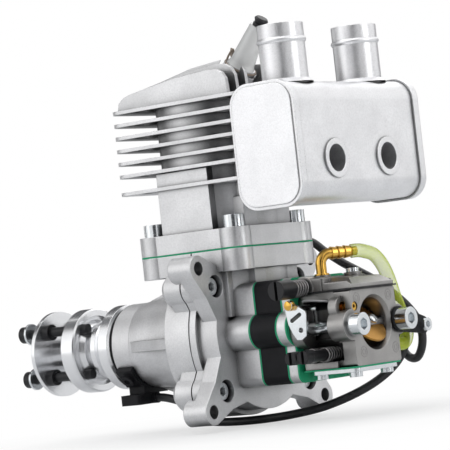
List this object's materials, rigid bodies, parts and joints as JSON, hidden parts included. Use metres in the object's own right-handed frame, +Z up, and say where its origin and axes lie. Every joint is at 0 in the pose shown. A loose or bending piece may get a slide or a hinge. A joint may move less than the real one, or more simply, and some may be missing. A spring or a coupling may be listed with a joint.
{
  "type": "model aircraft engine",
  "caption": "Single cylinder two-stroke petrol engine for a model aircraft, with finned cylinder, open carburettor, box muffler with stacks and a propeller drive.",
  "frame": {"origin": "on the crank axis, in the plane of the mounting lugs' rear faces", "axes": "+X forward along the crank to the propeller, +Y to the engine's left, +Z up along the cylinder"},
  "size_m": [0.1807, 0.088, 0.1617],
  "materials": {
    "cast_aluminium": "fine grained casting",
    "machined_aluminium": "turned, bright",
    "steel": "ground",
    "zinc_plated_steel": "bright zinc plating",
    "black_steel": "black oxide",
    "black_plastic": "satin",
    "black_rubber": "satin",
    "gasket_paper": "matt green",
    "gasket_black": "matt",
    "plug_ceramic": "glazed",
    "brass": "bright",
    "bronze": "satin",
    "fuel_tube_clear": "soft and see-through"
  },
  "bodies": {
    "engine": {"front_crankcase": "cast_aluminium", "rear_crankcase": "cast_aluminium", "case_gasket": "gasket_paper", "case_screws": "zinc_plated_steel", "bearing_outer_rings": "steel", "shaft_seal": "black_rubber", "finned_cylinder": "cast_aluminium", "base_gasket": "gasket_paper", "cylinder_bolts": "zinc_plated_steel", "plug_shell": "steel", "plug_insulator": "plug_ceramic", "plug_terminal": "steel", "exhaust_gasket": "steel", "muffler_body": "cast_aluminium", "muffler_end_caps": "cast_aluminium", "muffler_stacks": "cast_aluminium", "bolt_access_tubes": "cast_aluminium", "muffler_bolts": "zinc_plated_steel", "insulator_block": "black_plastic", "intake_gaskets": "gasket_paper", "reed_cage": "machined_aluminium", "spacer_plate": "cast_aluminium", "carburettor_body": "cast_aluminium", "carburettor_bolts": "zinc_plated_steel", "pump_cover": "cast_aluminium", "pump_gasket": "gasket_black", "metering_cover": "zinc_plated_steel", "metering_gasket": "gasket_paper", "cover_screws": "zinc_plated_steel", "carburettor_springs": "steel", "fuel_elbow": "brass", "fuel_tube": "fuel_tube_clear", "brass_fittings": "brass", "pickup_bracket": "black_plastic", "pickup_sensor": "black_plastic", "lead_strap": "black_plastic", "pickup_lead": "black_rubber", "lead_connector": "black_plastic"},
    "crank": {"crankshaft": "steel", "bearing_inner_rings": "steel", "prop_hub": "machined_aluminium", "prop_plate": "machined_aluminium", "centre_spacer": "steel", "prop_bolts": "black_steel", "prop_washers": "zinc_plated_steel"},
    "piston_set": {"piston": "machined_aluminium", "piston_ring": "steel", "wrist_pin": "steel"},
    "rod_set": {"connecting_rod": "steel", "crank_pin": "steel"},
    "throttle": {"throttle_shaft": "steel", "throttle_plate": "bronze", "throttle_lever": "zinc_plated_steel"},
    "choke": {"choke_shaft": "steel", "choke_plate": "bronze", "choke_lever": "black_plastic"},
    "idle_screw_turning": {"idle_screw": "black_steel"},
    "high_speed_needle_turning": {"high_speed_needle": "black_steel"},
    "low_speed_needle_turning": {"low_speed_needle": "black_steel"}
  },
  "joints": [
    {"name": "crank_spin", "type": "hinge", "parent": "engine", "child": "crank", "pos_m": [0, 0, 0], "axis": [1, 0, 0], "continuous": true},
    {"name": "piston_stroke", "type": "slide", "parent": "engine", "child": "piston_set", "axis": [0, 0, 1], "range_m": [0, 0.029]},
    {"name": "rod_swing", "type": "hinge", "parent": "piston_set", "child": "rod_set", "pos_m": [0.0134, 0, 0.0385], "axis": [1, 0, 0], "range_deg": [-15.8, 15.8]},
    {"name": "throttle_turn", "type": "hinge", "parent": "engine", "child": "throttle", "pos_m": [-0.0346, 0, 0], "axis": [0, -1, 0], "range_deg": [0, 60], "stiffness_Nm_per_rad": 0.01, "springref_deg": -20.05},
    {"name": "choke_turn", "type": "hinge", "parent": "engine", "child": "choke", "pos_m": [-0.0496, 0, 0], "axis": [0, 1, 0], "range_deg": [-38, 5]},
    {"name": "idle_screw_turn", "type": "hinge", "parent": "engine", "child": "idle_screw_turning", "pos_m": [-0.0334, 0.02, 0.016], "axis": [0, 1, 0], "range_deg": [-180, 180]},
    {"name": "high_speed_needle_turn", "type": "hinge", "parent": "engine", "child": "high_speed_needle_turning", "pos_m": [-0.0418, 0.02, -0.0104], "axis": [0, 1, 0], "range_deg": [-180, 180]},
    {"name": "low_speed_needle_turn", "type": "hinge", "parent": "engine", "child": "low_speed_needle_turning", "pos_m": [-0.036, 0.02, -0.0104], "axis": [0, 1, 0], "range_deg": [-180, 180]}
  ]
}
